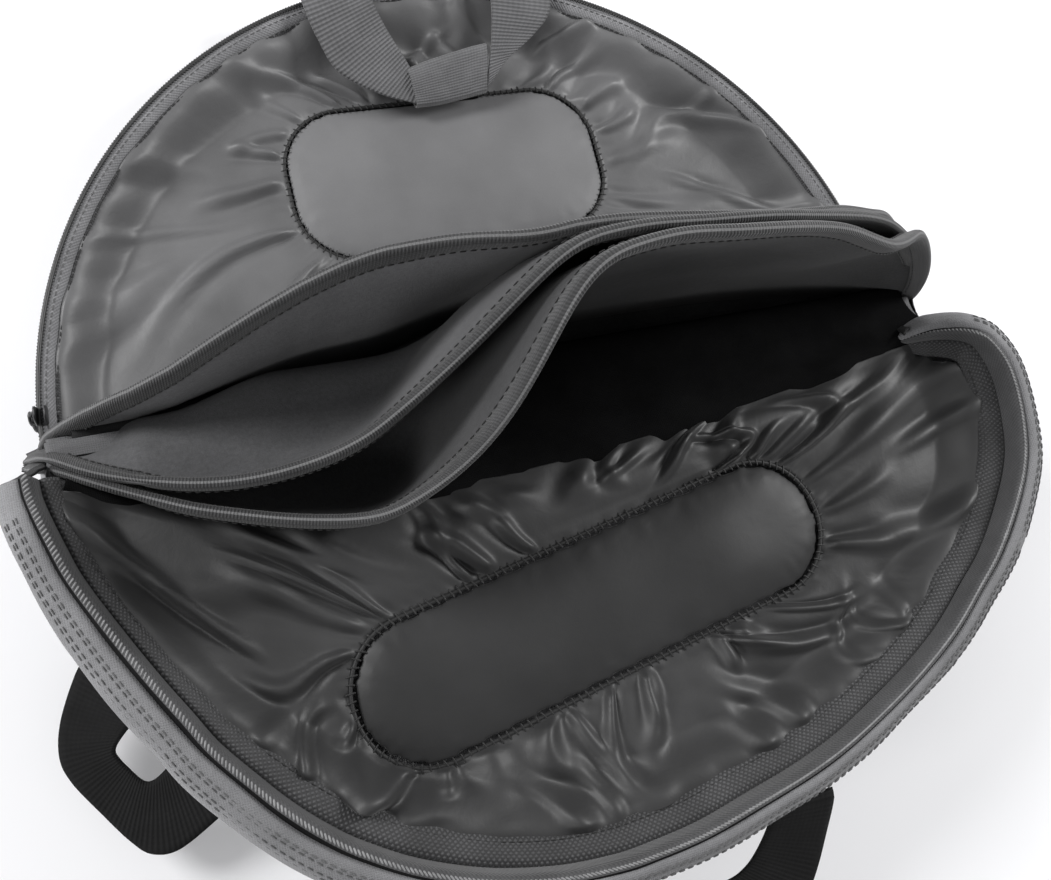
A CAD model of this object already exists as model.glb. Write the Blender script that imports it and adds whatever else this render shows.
import math
import bpy
import numpy as np
from mathutils import Matrix, Vector, noise
from mathutils.bvhtree import BVHTree


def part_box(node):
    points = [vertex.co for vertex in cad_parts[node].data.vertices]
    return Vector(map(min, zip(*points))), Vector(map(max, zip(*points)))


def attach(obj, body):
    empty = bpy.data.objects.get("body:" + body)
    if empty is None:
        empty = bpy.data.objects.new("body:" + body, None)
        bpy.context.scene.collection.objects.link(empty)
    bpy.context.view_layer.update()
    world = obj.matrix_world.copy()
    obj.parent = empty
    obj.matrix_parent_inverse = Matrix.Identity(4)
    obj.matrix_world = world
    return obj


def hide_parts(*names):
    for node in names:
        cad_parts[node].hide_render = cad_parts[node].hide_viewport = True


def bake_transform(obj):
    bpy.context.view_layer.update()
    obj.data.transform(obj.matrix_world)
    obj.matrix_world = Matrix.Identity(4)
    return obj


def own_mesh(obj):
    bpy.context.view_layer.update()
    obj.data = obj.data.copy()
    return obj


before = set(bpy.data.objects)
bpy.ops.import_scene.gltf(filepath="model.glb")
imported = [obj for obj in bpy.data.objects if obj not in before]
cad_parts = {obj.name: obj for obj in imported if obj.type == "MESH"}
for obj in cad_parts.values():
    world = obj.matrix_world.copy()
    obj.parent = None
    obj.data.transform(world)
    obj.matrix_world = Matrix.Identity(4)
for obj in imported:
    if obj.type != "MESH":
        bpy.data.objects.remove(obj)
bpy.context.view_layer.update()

# ---- numbers shared with the frame, in metres ------------------------------------------------
ZIP_RADIUS = 0.2908
FLAP_ZIP_Z = 0.158
UP = np.array([0, 0, 1.0])
# each stitched pad: width, height, corner radius, centre x, centre y, turn in degrees
BACK_PAD = (0.230, 0.112, 0.0445, 0.0, 0.1615, 1.0)
FLAP_PAD = (0.305, 0.083, 0.0405, -0.0045, -0.1605, 11.2)


# ---- small numeric helpers -------------------------------------------------------------------
def smooth(a, b, x):
    """0 up to a, 1 from b, and a soft step between them."""
    t = np.clip((np.asarray(x, float) - a) / (b - a), 0, 1)
    return t * t * (3 - 2 * t)


def field(x, y, seed):
    """Smooth noise, about -1 to 1, over two arrays of the same shape."""
    height = seed * 7.31
    out = [noise.noise(Vector((a, b, height))) for a, b in zip(np.ravel(x), np.ravel(y))]
    return np.array(out).reshape(np.shape(x)) * 1.6


def even(points, count, closed=False):
    """The same line with its points evenly spaced."""
    points = np.asarray(points, float)
    if closed:
        points = np.vstack([points, points[:1]])
    steps = np.linalg.norm(np.diff(points, axis=0), axis=1)
    along = np.concatenate([[0], np.cumsum(steps)])
    wanted = np.linspace(0, along[-1], count, endpoint=not closed)
    return np.stack([np.interp(wanted, along, points[:, k]) for k in range(points.shape[1])], 1)


def spline(points, count, closed=False):
    """A Catmull-Rom line through the points, evenly spaced."""
    p = np.asarray(points, float)
    if closed:
        p = np.vstack([p[-1:], p, p[:2]])
    else:
        p = np.vstack([2 * p[:1] - p[1:2], p, 2 * p[-1:] - p[-2:-1]])
    t = np.linspace(0, 1, 24, endpoint=False)[:, None]
    out = []
    for i in range(1, len(p) - 2):
        a, b, c, d = p[i - 1], p[i], p[i + 1], p[i + 2]
        out.append(0.5 * (2 * b + (c - a) * t + (2 * a - 5 * b + 4 * c - d) * t ** 2
                          + (3 * b - a - 3 * c + d) * t ** 3))
    if not closed:
        out.append(p[-2:-1])
    return even(np.vstack(out), count, closed)


def tangents(line, closed=False):
    line = np.asarray(line, float)
    if closed:
        d = np.roll(line, -1, 0) - np.roll(line, 1, 0)
    else:
        d = np.gradient(line, axis=0)
    return d / np.maximum(np.linalg.norm(d, axis=1), 1e-9)[:, None]


def between(a, b, share):
    """Surface of straight lines from line a to line b, with points at these shares of the way."""
    return a[:, None] * (1 - share)[None, :, None] + b[:, None] * share[None, :, None]


def columns(values, count):
    """One row of equal values for each value."""
    return np.repeat(np.asarray(values)[:, None], count, 1)


def softened(values, reach):
    """Running average with a bell-shaped weight, over this many neighbours each side."""
    weight = np.exp(-np.linspace(-2, 2, 2 * reach + 1) ** 2)
    return np.convolve(np.pad(values, reach, mode="edge"), weight / weight.sum(), mode="valid")


def line_length(line):
    return np.linalg.norm(np.diff(line, axis=0), axis=1).sum()


def unit(v):
    return v / np.maximum(np.linalg.norm(v, axis=-1, keepdims=True), 1e-12)


def rounded(pad, grow, count):
    """Outline of a pad, this much larger all round, anticlockwise, evenly spaced."""
    width, height, corner, x0, y0, turn = pad
    points = []
    for cx, cy, start in ((1, 1, 0), (-1, 1, 90), (-1, -1, 180), (1, -1, 270)):
        for a in np.radians(np.linspace(start, start + 90, 20)):
            points.append((cx * (width / 2 - corner) + (corner + grow) * math.cos(a),
                           cy * (height / 2 - corner) + (corner + grow) * math.sin(a)))
    p = even(points, count, True)
    c, s = math.cos(math.radians(turn)), math.sin(math.radians(turn))
    return np.stack([x0 + p[:, 0] * c - p[:, 1] * s, y0 + p[:, 0] * s + p[:, 1] * c], 1)


def inside_pad(pad, x, y):
    """How far each point is inside a pad's outline."""
    width, height, corner, x0, y0, turn = pad
    c, s = math.cos(math.radians(turn)), math.sin(math.radians(turn))
    across = np.abs((x - x0) * c + (y - y0) * s) - (width / 2 - corner)
    up = np.abs(-(x - x0) * s + (y - y0) * c) - (height / 2 - corner)
    return corner - np.hypot(np.maximum(across, 0), np.maximum(up, 0)) - np.minimum(np.maximum(across, up), 0)


def normals_of(grid_points):
    """Unit normals of a grid of points."""
    return unit(np.cross(np.gradient(grid_points, axis=0), np.gradient(grid_points, axis=1)))


# ---- mesh helpers ----------------------------------------------------------------------------
def make_object(name, mesh):
    obj = bpy.data.objects.new(name, mesh)
    bpy.context.scene.collection.objects.link(obj)
    return obj


def shade_smooth(mesh):
    mesh.polygons.foreach_set("use_smooth", [True] * len(mesh.polygons))
    mesh.update()


def vertex_places(mesh):
    co = np.empty(len(mesh.vertices) * 3, np.float32)
    mesh.vertices.foreach_get("co", co)
    return co.reshape(-1, 3)


def grid(name, points, loop=False, flip=False):
    """A mesh over a grid of points, with UVs in metres along both directions."""
    n, m = points.shape[:2]
    closed = np.concatenate([points, points[:1]], 0) if loop else points
    u = np.concatenate([[0], np.cumsum(np.linalg.norm(np.diff(closed, axis=0), axis=2).mean(1))])
    v = np.concatenate([[0], np.cumsum(np.linalg.norm(np.diff(points, axis=1), axis=2).mean(0))])
    i, j = np.meshgrid(np.arange(n if loop else n - 1), np.arange(m - 1), indexing="ij")
    i, j = i.ravel(), j.ravel()
    k = (i + 1) % n
    corners = [(i * m + j, i, j), (k * m + j, i + 1, j), (k * m + j + 1, i + 1, j + 1),
               (i * m + j + 1, i, j + 1)]
    if flip:
        corners.reverse()
    faces = np.stack([c[0] for c in corners], 1)
    uv = np.stack([np.stack([u[c[1]], v[c[2]]], 1) for c in corners], 1)
    mesh = bpy.data.meshes.new(name)
    mesh.from_pydata(points.reshape(-1, 3).tolist(), [], faces.tolist())
    layer = mesh.uv_layers.new(name="UVMap")
    layer.data.foreach_set("uv", uv.reshape(-1).astype(np.float32))
    shade_smooth(mesh)
    return make_object(name, mesh)


def bake(obj):
    """The object's modifiers become part of its mesh."""
    depsgraph = bpy.context.evaluated_depsgraph_get()
    depsgraph.update()
    mesh = bpy.data.meshes.new_from_object(obj.evaluated_get(depsgraph))
    obj.modifiers.clear()
    old = obj.data
    obj.data = mesh
    bpy.data.meshes.remove(old)
    return obj


def thicken(obj, thickness, offset=-1.0):
    """Gives a sheet its thickness, to one side (-1 or 1) or to both (0)."""
    m = obj.modifiers.new("Solidify", "SOLIDIFY")
    m.thickness = thickness
    m.offset = offset
    m.use_rim = True
    m.use_quality_normals = True
    bake(obj)
    shade_smooth(obj.data)
    return obj


def capsules(name, places, directions, lengths, radius, normals=None, sides=6):
    """Many short thread-like capsules in one mesh."""
    verts, faces = [], []
    rings = [(-0.5, 0.35), (-0.42, 0.8), (-0.2, 1.0), (0.2, 1.0), (0.42, 0.8), (0.5, 0.35)]
    places, directions = np.asarray(places, float), unit(np.asarray(directions, float))
    if normals is None:
        normals = np.tile([0.0, 0.0, 1.0], (len(places), 1))
    side = unit(np.cross(directions, normals))
    up = unit(np.cross(side, directions))
    lengths = np.broadcast_to(lengths, (len(places),))
    for k in range(len(places)):
        base = len(verts)
        for t, r in rings:
            for q in range(sides):
                a = 2 * math.pi * q / sides
                verts.append(places[k] + directions[k] * (t * lengths[k])
                             + side[k] * (radius * r * math.cos(a)) + up[k] * (radius * r * math.sin(a)))
        for t in range(len(rings) - 1):
            for q in range(sides):
                a, b = base + t * sides + q, base + t * sides + (q + 1) % sides
                faces.append((a, b, b + sides, a + sides))
        faces.append(tuple(base + q for q in reversed(range(sides))))
        faces.append(tuple(base + (len(rings) - 1) * sides + q for q in range(sides)))
    mesh = bpy.data.meshes.new(name)
    mesh.from_pydata([tuple(v) for v in verts], [], faces)
    shade_smooth(mesh)
    return make_object(name, mesh)


def sweep_tube(name, line, radius, sides=12, closed=False):
    """A round tube along a line."""
    line = np.asarray(line, float)
    t = tangents(line, closed)
    side = unit(np.cross(t, np.tile([0.0, 0.0, 1.0], (len(t), 1))))
    up = np.cross(side, t)
    a = np.linspace(0, 2 * np.pi, sides + 1)
    spokes = side[:, None] * np.cos(a)[None, :, None] + up[:, None] * np.sin(a)[None, :, None]
    points = line[:, None] + radius * spokes
    return grid(name, points, loop=closed)


# ---- materials -------------------------------------------------------------------------------
BLUE_CAST = 1.02  # every grey of the bag is this much bluer than neutral


class Graph:
    """Short hand for building one material."""

    def __init__(self, name):
        self.material = bpy.data.materials.new(name)
        self.material.use_nodes = True
        self.nodes = self.material.node_tree.nodes
        self.links = self.material.node_tree.links
        self.nodes.clear()
        self.out = self.nodes.new("ShaderNodeOutputMaterial")
        self.shader = self.nodes.new("ShaderNodeBsdfPrincipled")
        self.links.new(self.shader.outputs[0], self.out.inputs[0])
        self.coords = self.nodes.new("ShaderNodeTexCoord")

    def put(self, socket, value):
        if isinstance(value, bpy.types.NodeSocket):
            self.links.new(value, socket)
        else:
            socket.default_value = value

    def math(self, operation, a, b=0.0):
        n = self.nodes.new("ShaderNodeMath")
        n.operation = operation
        self.put(n.inputs[0], a)
        self.put(n.inputs[1], b)
        return n.outputs[0]

    def noise(self, scale, detail=3.0, rough=0.55, stretch=(1, 1, 1), distortion=0.0):
        m = self.nodes.new("ShaderNodeMapping")
        m.inputs["Scale"].default_value = stretch
        self.links.new(self.coords.outputs["Object"], m.inputs["Vector"])
        n = self.nodes.new("ShaderNodeTexNoise")
        n.inputs["Scale"].default_value = scale
        n.inputs["Detail"].default_value = detail
        n.inputs["Roughness"].default_value = rough
        n.inputs["Distortion"].default_value = distortion
        self.links.new(m.outputs[0], n.inputs["Vector"])
        return n.outputs["Fac"]

    def wave(self, direction, period, source="UV", turn=0.0, distortion=0.0):
        """Parallel ridges, 0 to 1, this many metres apart."""
        m = self.nodes.new("ShaderNodeMapping")
        m.inputs["Rotation"].default_value = (0, 0, turn)
        self.links.new(self.coords.outputs[source], m.inputs["Vector"])
        n = self.nodes.new("ShaderNodeTexWave")
        n.wave_type = "BANDS"
        n.bands_direction = direction
        n.inputs["Scale"].default_value = 0.314 / period
        n.inputs["Distortion"].default_value = distortion
        self.links.new(m.outputs[0], n.inputs["Vector"])
        return n.outputs["Fac"]

    def ramp(self, factor, stops):
        n = self.nodes.new("ShaderNodeValToRGB")
        n.color_ramp.interpolation = "LINEAR"
        while len(n.color_ramp.elements) < len(stops):
            n.color_ramp.elements.new(0.5)
        for e, (place, colour) in zip(n.color_ramp.elements, stops):
            e.position = place
            e.color = (colour, colour, colour * BLUE_CAST, 1.0)
        self.put(n.inputs[0], factor)
        return n.outputs[0]

    def mix(self, factor, a, b, kind="MIX"):
        n = self.nodes.new("ShaderNodeMix")
        n.data_type = "RGBA"
        n.blend_type = kind
        self.put(n.inputs[0], factor)
        for socket, value in ((n.inputs[6], a), (n.inputs[7], b)):
            if isinstance(value, float):
                value = (value, value, value, 1.0)
            self.put(socket, value)
        return n.outputs[2]

    def toned(self, weight, colour, factor, low, high):
        """The colour times a tone that follows a pattern; low and high are (place, tone)."""
        return self.mix(weight, colour, self.ramp(factor, [low, high]), "MULTIPLY")

    def between(self, factor, low, high):
        n = self.nodes.new("ShaderNodeMapRange")
        self.put(n.inputs[0], factor)
        n.inputs[3].default_value = low
        n.inputs[4].default_value = high
        return n.outputs[0]

    def bump(self, height, distance, strength=1.0, below=None):
        n = self.nodes.new("ShaderNodeBump")
        n.inputs["Distance"].default_value = distance
        n.inputs["Strength"].default_value = strength
        self.put(n.inputs["Height"], height)
        if below is not None:
            self.links.new(below, n.inputs["Normal"])
        return n.outputs[0]

    def done(self, colour, rough, normal=None, sheen=0.0, sheen_rough=0.5, specular=0.5, coat=0.0,
             metallic=0.0, coat_rough=0.2):
        s = self.shader
        self.put(s.inputs["Base Color"], colour)
        self.put(s.inputs["Roughness"], rough)
        if normal is not None:
            self.links.new(normal, s.inputs["Normal"])
        s.inputs["Sheen Weight"].default_value = sheen
        s.inputs["Sheen Roughness"].default_value = sheen_rough
        s.inputs["Specular IOR Level"].default_value = specular
        s.inputs["Coat Weight"].default_value = coat
        s.inputs["Coat Roughness"].default_value = coat_rough
        s.inputs["Metallic"].default_value = metallic
        return self.material


def plain_weave(name, dark, light, rough=0.75, period=0.0011, sheen=0.15, specular=0.35):
    """Plain-woven cloth with a slight mottle."""
    g = Graph(name)
    blotches = g.noise(24.0, 4.0, 0.6)
    fine = g.noise(1500.0, 2.0, 0.6)
    warp = g.wave("X", period, "Object", 0.0, 0.4)
    weft = g.wave("Y", period, "Object", 0.0, 0.4)
    weave = g.math("MAXIMUM", warp, weft)
    colour = g.ramp(blotches, [(0.3, dark), (0.7, light)])
    colour = g.toned(0.5, colour, fine, (0.3, 0.62), (0.7, 1.25))
    colour = g.toned(0.35, colour, weave, (0.2, 0.6), (0.9, 1.1))
    normal = g.bump(fine, 0.0003, 0.6)
    normal = g.bump(weave, 0.00025, 0.7, normal)
    return g.done(colour, rough, normal, sheen, 0.5, specular)


def satin(name, dark, light, rough, crease=0.0009, specular=0.5, sheen=0.1, coat=0.0):
    """Thin glossy lining: fine crease noise in its bump, patchy gloss."""
    g = Graph(name)
    blotches = g.noise(14.0, 3.0, 0.5)
    ripple = g.noise(70.0, 4.0, 0.55, distortion=0.6)
    creases = g.noise(190.0, 3.0, 0.6, distortion=0.9)
    threads = g.noise(2200.0, 1.0, 0.5)
    colour = g.ramp(blotches, [(0.3, dark), (0.7, light)])
    colour = g.toned(0.22, colour, threads, (0.35, 0.75), (0.65, 1.2))
    roughness = g.between(g.noise(30.0, 3.0, 0.6), *rough)
    normal = g.bump(threads, 0.00008, 0.5)
    normal = g.bump(creases, crease * 0.2, 0.5, normal)
    normal = g.bump(ripple, crease * 0.7, 0.5, normal)
    return g.done(colour, roughness, normal, sheen, 0.4, specular, coat, coat_rough=0.3)


def ribbed(name, dark, light, period, across=False, depth=0.0004, herring=0.0, sheen=0.2, edge=None,
           specular=0.35, contrast=0.5):
    """Ribbed tape or webbing, with its ribs across its length in its UVs, or along it where across is set.
    edge is a lighter line along it: its place, half width and tone."""
    g = Graph(name)
    direction = "Y" if across else "X"
    ribs = g.wave(direction, period, "UV", herring, 0.3)
    other = g.wave("Y" if direction == "X" else "X", period * 1.15, "UV", herring, 0.2)
    fine = g.noise(1700.0, 2.0, 0.6)
    blotches = g.noise(35.0, 4.0, 0.6)
    colour = g.ramp(blotches, [(0.3, dark), (0.72, light)])
    colour = g.toned(contrast, colour, ribs, (0.1, 0.35), (0.8, 1.25))
    colour = g.toned(0.25, colour, other, (0.1, 0.6), (0.8, 1.1))
    colour = g.toned(0.4, colour, fine, (0.3, 0.6), (0.7, 1.3))
    if edge is not None:
        middle, half, tone = edge
        split = g.nodes.new("ShaderNodeSeparateXYZ")
        g.links.new(g.coords.outputs["UV"], split.inputs[0])
        off = g.math("ABSOLUTE", g.math("SUBTRACT", split.outputs[1], middle))
        line = g.math("LESS_THAN", off, half)
        colour = g.mix(line, colour, g.ramp(fine, [(0.3, tone * 0.75), (0.7, tone * 1.2)]))
    normal = g.bump(fine, 0.0002, 0.5)
    normal = g.bump(other, depth * 0.4, 0.6, normal)
    normal = g.bump(ribs, depth, 0.9, normal)
    return g.done(colour, 0.7, normal, sheen, 0.5, specular)


def meshed(name, dark, light):
    """Open woven edge tape: a lattice of raised threads turned half a right angle."""
    period = 0.0021
    g = Graph(name)
    a = g.wave("X", period, "UV", math.radians(45), 0.2)
    b = g.wave("Y", period, "UV", math.radians(45), 0.2)
    lattice = g.math("MULTIPLY", a, b)
    fine = g.noise(1500.0, 2.0, 0.6)
    blotches = g.noise(28.0, 4.0, 0.6)
    colour = g.ramp(blotches, [(0.3, dark), (0.7, light)])
    colour = g.toned(0.8, colour, lattice, (0.05, 0.42), (0.6, 1.6))
    colour = g.toned(0.4, colour, fine, (0.3, 0.6), (0.7, 1.3))
    normal = g.bump(lattice, 0.0005, 0.9)
    return g.done(colour, 0.62, normal, 0.15, 0.5, 0.4)


def felt(name, dark, light):
    """Napped cloth: soft mottle, short fibres."""
    g = Graph(name)
    blotches = g.noise(16.0, 5.0, 0.6)
    nap = g.noise(420.0, 4.0, 0.75)
    fibre = g.noise(1900.0, 2.0, 0.6, stretch=(1, 1, 0.4))
    colour = g.ramp(blotches, [(0.3, dark), (0.7, light)])
    colour = g.toned(0.55, colour, nap, (0.3, 0.65), (0.7, 1.3))
    colour = g.toned(0.4, colour, fibre, (0.3, 0.65), (0.7, 1.25))
    normal = g.bump(fibre, 0.0003, 0.7)
    normal = g.bump(nap, 0.0006, 0.6, normal)
    return g.done(colour, 0.92, normal, 0.08, 0.6, 0.1)


def thread(name, tone):
    """Sewing thread."""
    g = Graph(name)
    fine = g.noise(2500.0, 2.0, 0.5)
    colour = g.ramp(fine, [(0.3, tone * 0.6), (0.7, tone * 1.4)])
    return g.done(colour, 0.55, g.bump(fine, 0.0001, 0.6), 0.1, 0.5, 0.4)


def hard(name, dark, light, rough, metallic=0.0):
    """Moulded plastic or painted metal, with wear in its gloss."""
    g = Graph(name)
    wear = g.noise(140.0, 5.0, 0.65)
    fine = g.noise(900.0, 2.0, 0.6)
    colour = g.ramp(wear, [(0.35, dark), (0.75, light)])
    roughness = g.between(wear, rough * 0.8, rough * 1.3)
    return g.done(colour, roughness, g.bump(fine, 0.00006, 0.5), metallic=metallic)


MATERIALS = {
    "outer": plain_weave("outer_nylon_grey", 0.15, 0.22, period=0.0012),
    "outer_dark": plain_weave("outer_nylon_underside", 0.10, 0.15, period=0.0012),
    "back_lining": satin("lining_satin_grey", 0.082, 0.128, (0.42, 0.56), coat=0.05),
    "back_pad": satin("lining_satin_pad", 0.12, 0.155, (0.48, 0.6), crease=0.0004, specular=0.4),
    "flap_lining": satin("lining_satin_black", 0.016, 0.032, (0.47, 0.60), coat=0.04),
    "flap_pad": satin("lining_satin_flap_pad", 0.015, 0.025, (0.45, 0.58), crease=0.0004, specular=0.4),
    "pocket": satin("lining_satin_pocket", 0.003, 0.007, (0.6, 0.8), specular=0.1, sheen=0.0),
    "fold_lining": plain_weave("lining_fold_black", 0.004, 0.008, rough=0.95, sheen=0.0, specular=0.03),
    "gusset": plain_weave("gusset_nylon_black", 0.012, 0.022, sheen=0.02, specular=0.2),
    "piping": plain_weave("piping_tape_black", 0.035, 0.055, period=0.0008, sheen=0.1),
    "binding": ribbed("binding_grosgrain", 0.055, 0.085, 0.0017, contrast=0.6),
    "mesh": meshed("mesh_edge_tape", 0.030, 0.055),
    "groove": plain_weave("groove_tape_black", 0.006, 0.012, sheen=0.0, specular=0.1),
    "back_tape": ribbed("zip_tape_light", 0.20, 0.29, 0.0016, herring=math.radians(45), depth=0.0002,
                        contrast=0.25),
    "flap_tape": ribbed("zip_tape_dark", 0.05, 0.08, 0.0016, herring=math.radians(45), depth=0.0002,
                        contrast=0.3),
    "coil": hard("zip_coil_plastic", 0.02, 0.04, 0.4),
    "coil_light": hard("zip_coil_thread", 0.16, 0.28, 0.5),
    "felt_rear": felt("divider_felt_charcoal", 0.115, 0.16),
    "felt_middle": felt("divider_felt_charcoal_middle", 0.075, 0.105),
    "felt_front": felt("divider_felt_charcoal_front", 0.030, 0.050),
    "webbing": ribbed("webbing_grey", 0.095, 0.14, 0.0026, depth=0.0005, contrast=0.45),
    "grip": ribbed("webbing_grey_grip", 0.10, 0.135, 0.0018, across=True, depth=0.0003, contrast=0.3),
    "black_webbing": ribbed("webbing_black", 0.005, 0.010, 0.0024, depth=0.0002, sheen=0.02, specular=0.15,
                            contrast=0.2),
    "thread_dark": thread("thread_black", 0.012),
    "thread_grey": thread("thread_grey", 0.09),
    "metal": hard("slider_painted_zinc", 0.03, 0.09, 0.38, metallic=0.6),
    "cord": ribbed("pull_cord_braid", 0.03, 0.05, 0.0012, herring=math.radians(45)),
}


def dress(obj, material):
    """Gives a piece its material and the record's slot that it takes its finish from."""
    obj.data.materials.clear()
    obj.data.materials.append(MATERIALS[material])
    return obj


def place(obj, material, slot, body, nodes=()):
    """Dresses a piece, lets it ride on a body and says which nodes it stands for."""
    dress(obj, material)
    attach(obj, body)
    if nodes:
        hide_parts(*nodes)
    return obj


def drawn_in(points):
    """Towards the fold the bag's two corners are drawn in, the right one more than the left."""
    p = np.array(points)
    near = smooth(0.040, 0.090, p[..., 2]) * smooth(-0.070, -0.012, p[..., 1])
    p[..., 0] -= 0.036 * near * smooth(0.19, 0.30, p[..., 0])
    p[..., 0] += 0.017 * near * smooth(0.19, 0.30, -p[..., 0])
    return p


# ---- back tray -------------------------------------------------------------------------------
def arc(radius, start, stop, count, height=0.0):
    """Points round the bag's centre, from one angle to another in degrees."""
    a = np.radians(np.linspace(start, stop, count))
    return np.stack([radius * np.cos(a), radius * np.sin(a), np.full(count, height)], 1)


def revolve(name, section, start, stop, count, wobble=0.0, seed=1):
    """A section of (radius, height) carried round the bag's centre."""
    section = even(np.asarray(section, float), max(len(section) * 4, 12))
    a = np.radians(np.linspace(start, stop, count))
    r = np.repeat(section[None, :, 0], count, 0)
    z = np.repeat(section[None, :, 1], count, 0)
    if wobble:
        r = r + wobble * field(columns(a * 0.3, len(section)) * 40, z * 60, seed)
    points = np.stack([r * np.cos(a)[:, None], r * np.sin(a)[:, None], z], 2)
    return grid(name, points)


def hit(centre, direction, loop):
    """Distance along a ray in plan to a closed outline, the farthest crossing."""
    a, b = loop, np.roll(loop, -1, 0)
    e = b - a
    w = a - centre
    den = direction[0] * e[:, 1] - direction[1] * e[:, 0]
    den = np.where(np.abs(den) < 1e-12, 1e-12, den)
    t = (w[:, 0] * e[:, 1] - w[:, 1] * e[:, 0]) / den
    s = (w[:, 0] * direction[1] - w[:, 1] * direction[0]) / den
    good = (s >= -1e-6) & (s <= 1 + 1e-6) & (t > 0)
    return t[good].max() if good.any() else 0.0


def fold_field(s, t, total, seed, count, pad_pucker, rim_pucker, height):
    """Height of the gathers in a lining: folds that fan out between pad and rim, and puckers at both edges.
    s is the distance round, t the share of the way from pad to rim."""
    draw = np.random.default_rng(seed)
    out = np.zeros(s.shape)
    for k in range(count):
        centre = (k + draw.uniform(-0.42, 0.42)) / count * total
        skew, bow = draw.normal(0, 0.020), draw.normal(0, 0.012)
        width = draw.uniform(0.0030, 0.0085)
        tall = height * draw.uniform(0.35, 1.0) * (0.6 + width / 0.014)
        from_pad = draw.random() < 0.6
        reach = draw.uniform(0.45, 0.98)
        path = centre + skew * t + bow * np.sin(t * 4.5 + draw.uniform(0, 6))
        off = (s - path + total / 2) % total - total / 2
        wide = width * (0.75 + 0.9 * t if from_pad else 1.5 - 0.6 * t)
        shape = np.exp(-(off / wide) ** 2) - 0.45 * np.exp(-((off - 1.7 * wide) / (1.2 * wide)) ** 2)
        if from_pad:
            along = smooth(0.0, 0.10, t) * (1 - smooth(reach * 0.55, reach, t))
        else:
            along = smooth(1 - reach, 1 - reach * 0.5, t) * (1 - smooth(0.90, 1.0, t) * 0.6)
        out += tall * shape * along
    slack = field(s * 11, t * 1.3, seed + 5)
    out += 0.35 * height * slack * smooth(0.0, 0.25, t) * (1 - smooth(0.8, 1.0, t))
    pucker = field(s * 95, t * 1.0, seed + 7)
    out += pad_pucker * pucker * (1 - smooth(0.0, 0.16, t)) * smooth(0.0, 0.03, t)
    gather = field(s * 60, t * 1.2, seed + 9)
    return out + rim_pucker * gather * smooth(0.72, 0.93, t)


def lining(pad, loop, straight_from, heights, edge_z, rise, seed, folds, puckers, rows=60, count=560):
    """Cloth gathered between a pad's seam and an outer edge. loop is the outer edge in plan, straight from
    one of its points on, and edge_z is its height. heights are those of the seam and of the cloth beside it,
    and how far the cloth rises between them."""
    inner_z, floor_z, lift = heights
    inner = rounded(pad, 0.0005, count)
    centre = np.array(pad[3:5])
    flat = loop[:, :2]
    outer = []
    seam_line = tangents(np.c_[inner, np.zeros(count)], True)
    out_dir = np.stack([seam_line[:, 1], -seam_line[:, 0]], 1)
    for p, o in zip(inner, out_dir):
        ray = unit(unit(p - centre) * 0.55 + o * 0.45)
        outer.append(p + ray * hit(p, ray, flat))
    outer = np.array(outer)
    nearest = [np.argmin(((flat - q) ** 2).sum(1)) for q in outer]
    height = edge_z[nearest]
    calm = (np.array(nearest) >= straight_from).astype(float)
    t = np.linspace(0, 1, rows) ** 0.9
    plan = between(inner, outer, t)
    gap = np.linalg.norm(outer - inner, axis=1)
    left = gap[:, None] * (1 - t)[None, :]
    z = inner_z + (floor_z - inner_z) * smooth(0, 0.15, t)[None, :]
    z = z + (height[:, None] - floor_z) * (1 - smooth(0, rise, left))
    z = z + lift * np.sin(np.pi * t)[None, :]
    steps = np.linalg.norm(np.diff((inner + outer) / 2, axis=0), axis=1)
    s = np.concatenate([[0], np.cumsum(steps)])
    total = s[-1] * (1 + 1 / count)
    s = columns(s, rows)
    tt = np.repeat(t[None, :], count, 0)
    f = fold_field(s, tt, total, seed, folds, *puckers)
    seam = smooth(total - 0.03, total, s)
    f = f * (1 - seam) + fold_field(s - total, tt, total, seed, folds, *puckers) * seam
    f = f * (1 - 0.8 * smooth(0.65, 0.97, tt) * calm[:, None])
    points = np.dstack([plan, z])
    side = np.dstack([out_dir[:, None, :].repeat(rows, 1), np.zeros((count, rows))])
    points[:, :, 2] += f
    points[:, :, :2] += (side * (f * 0.35 * tt)[:, :, None])[:, :, :2]
    return points


def tray_loop():
    """Outer edge of the back lining, in plan and height: round under the zip, straight under the dividers."""
    ring = arc(0.2832, -4, 184, 500, 0.039)
    chord_x = np.linspace(-0.280, 0.280, 160)
    chord = np.stack([chord_x, np.full(160, -0.021), np.full(160, 0.013)], 1)
    both = np.vstack([ring, chord])
    return both[:, :2], both[:, 2]


def back_tray():
    loop, height = tray_loop()
    points = lining(BACK_PAD, loop, 500, (0.0135, 0.0145, 0.003), height, 0.034, 11, 52,
                    (0.0010, 0.0018, 0.0062))
    cloth = grid("back_lining_cloth", points, loop=True)
    thicken(cloth, 0.0008, -1)
    place(cloth, "back_lining", "lining", "base", ["back_lining"])


def crowned_pad(pad, base_z, crown, seed, count=420, rows=60):
    """A padded oblong sewn down round its edge."""
    outline = rounded(pad, 0.0, count)
    t = 1 - np.linspace(0, 1, rows) ** 1.5 * 0.999
    t[-1] = 0.002
    centre = np.array(pad[3:5])
    plan = centre + (outline - centre)[:, None] * t[None, :, None]
    x, y = plan[:, :, 0], plan[:, :, 1]
    gap = np.maximum(inside_pad(pad, x, y), 0)
    z = base_z + crown * (1 - np.exp(-gap / 0.010)) * (0.85 + 0.15 * smooth(0, 0.04, gap))
    broad = 0.0012 * field(x * 18, y * 18, seed + 2) * smooth(0.0, 0.03, gap)
    return np.dstack([plan, z + broad]), outline


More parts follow.
